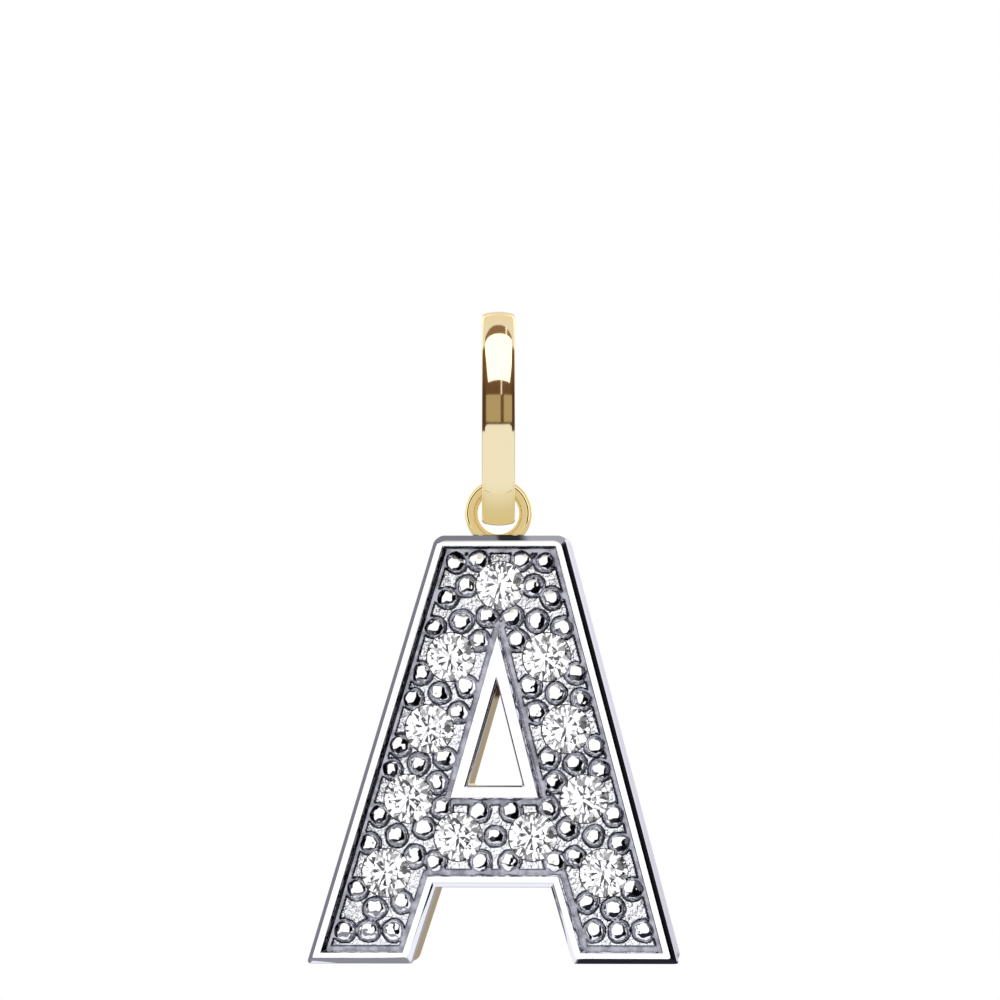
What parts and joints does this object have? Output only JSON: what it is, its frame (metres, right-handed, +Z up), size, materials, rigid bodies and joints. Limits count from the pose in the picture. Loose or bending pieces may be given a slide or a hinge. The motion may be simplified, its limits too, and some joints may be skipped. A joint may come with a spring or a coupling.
{
  "type": "initial pendant",
  "caption": "Letter-shaped pendant with a white, stone-set front on a gold body, hung by a small loop from a plain ring bail that a chain runs through.",
  "frame": {"origin": "the seat of the chain: the top of the bail's hole, on its inner face, in the middle of the band's width", "axes": "+Z up as the pendant hangs, -Y towards the viewer of the letter's front, X along the bail's hole"},
  "size_m": [0.0121, 0.007, 0.0213],
  "materials": {
    "gold": "polished",
    "white_metal": "polished",
    "stone": "faceted"
  },
  "bodies": {
    "bail": {"bail": "gold"},
    "letter": {"letter": "white_metal", "stone_top": "stone", "stone_bar_left": "stone", "stone_bar_right": "stone", "stone_left_1": "stone", "stone_left_2": "stone", "stone_left_3": "stone", "stone_left_4": "stone", "stone_right_1": "stone", "stone_right_2": "stone", "stone_right_3": "stone", "stone_right_4": "stone"}
  },
  "joints": [
    {"name": "letter_swing", "type": "hinge", "parent": "bail", "child": "letter", "pos_m": [0, 0, -0.0049], "axis": [1, 0, 0], "range_deg": [-25, 25]}
  ]
}
